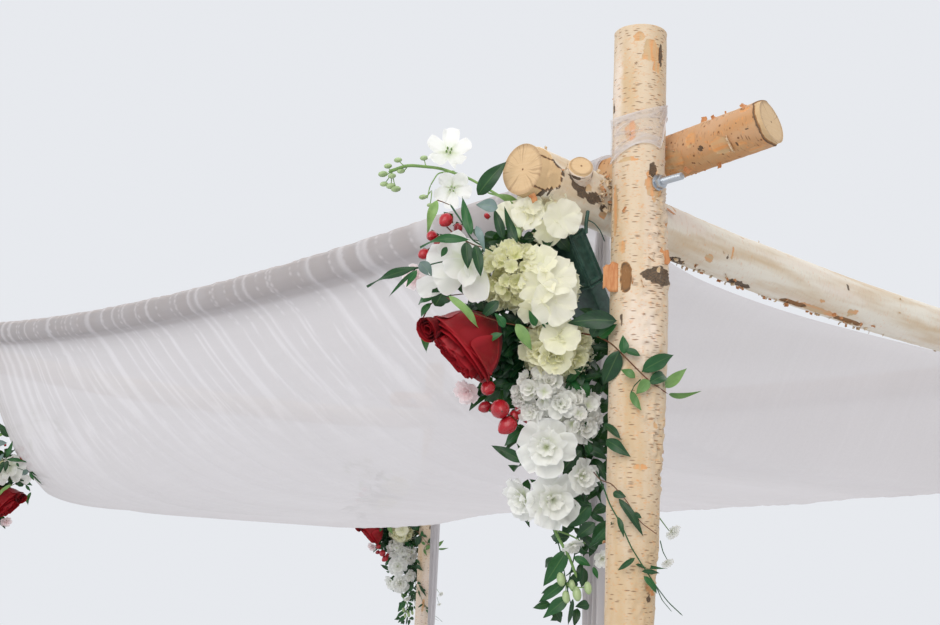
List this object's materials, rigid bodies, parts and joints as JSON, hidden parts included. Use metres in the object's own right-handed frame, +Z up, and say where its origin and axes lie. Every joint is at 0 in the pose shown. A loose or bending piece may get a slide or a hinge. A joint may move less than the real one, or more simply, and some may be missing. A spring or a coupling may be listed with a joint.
{
  "type": "birch log wedding canopy",
  "caption": "Rustic wedding canopy: bark-covered log posts and crossed log rails, a sheer cloth slung between the long rails, and hanging cut-flower arrangements at the corners.",
  "frame": {"origin": "on the floor under the middle of the overall box", "axes": "+X along the long rails, +Y along the short rails to the back, +Z up"},
  "size_m": [3.4844, 2.3338, 2.545],
  "materials": {
    "birch_bark": "dry peeling birch bark, sawn ends",
    "pale_bark": "smooth creamy birch bark, sawn ends",
    "zinc": "zinc-plated threaded rod, nuts and washers",
    "voile": "sheer white voile",
    "cage_plastic": "dark green moulded plastic",
    "petals_cream": "soft cream-green petals",
    "petals_red": "velvety dark red petals",
    "petals_white": "white petals",
    "leaves": "waxy dark green leaves and stems"
  },
  "bodies": {
    "root": {"post_front_right": "birch_bark", "bolt_short_rail_front_right": "zinc", "bolt_long_rail_front_right": "zinc", "tie_front_right": "voile", "tail_front_right": "voile", "holder_front_right": "cage_plastic", "blooms_front_right": "petals_cream", "rose_front_right": "petals_red", "stock_front_right": "petals_white", "foliage_front_right": "leaves", "post_front_left": "birch_bark", "bolt_short_rail_front_left": "zinc", "bolt_long_rail_front_left": "zinc", "tie_front_left": "voile", "tail_front_left": "voile", "holder_front_left": "cage_plastic", "blooms_front_left": "petals_cream", "rose_front_left": "petals_red", "stock_front_left": "petals_white", "foliage_front_left": "leaves", "post_back_left": "birch_bark", "bolt_short_rail_back_left": "zinc", "bolt_long_rail_back_left": "zinc", "tie_back_left": "voile", "tail_back_left": "voile", "holder_back_left": "cage_plastic", "blooms_back_left": "petals_cream", "rose_back_left": "petals_red", "stock_back_left": "petals_white", "foliage_back_left": "leaves", "post_back_right": "birch_bark", "bolt_short_rail_back_right": "zinc", "bolt_long_rail_back_right": "zinc", "tie_back_right": "voile", "tail_back_right": "voile", "holder_back_right": "cage_plastic", "blooms_back_right": "petals_cream", "rose_back_right": "petals_red", "stock_back_right": "petals_white", "foliage_back_right": "leaves", "rail_long_front": "birch_bark", "wrap_front": "voile", "rail_long_back": "birch_bark", "wrap_back": "voile", "rail_short_left": "pale_bark", "rail_short_right": "pale_bark", "canopy_sheet": "voile"}
  },
  "joints": []
}
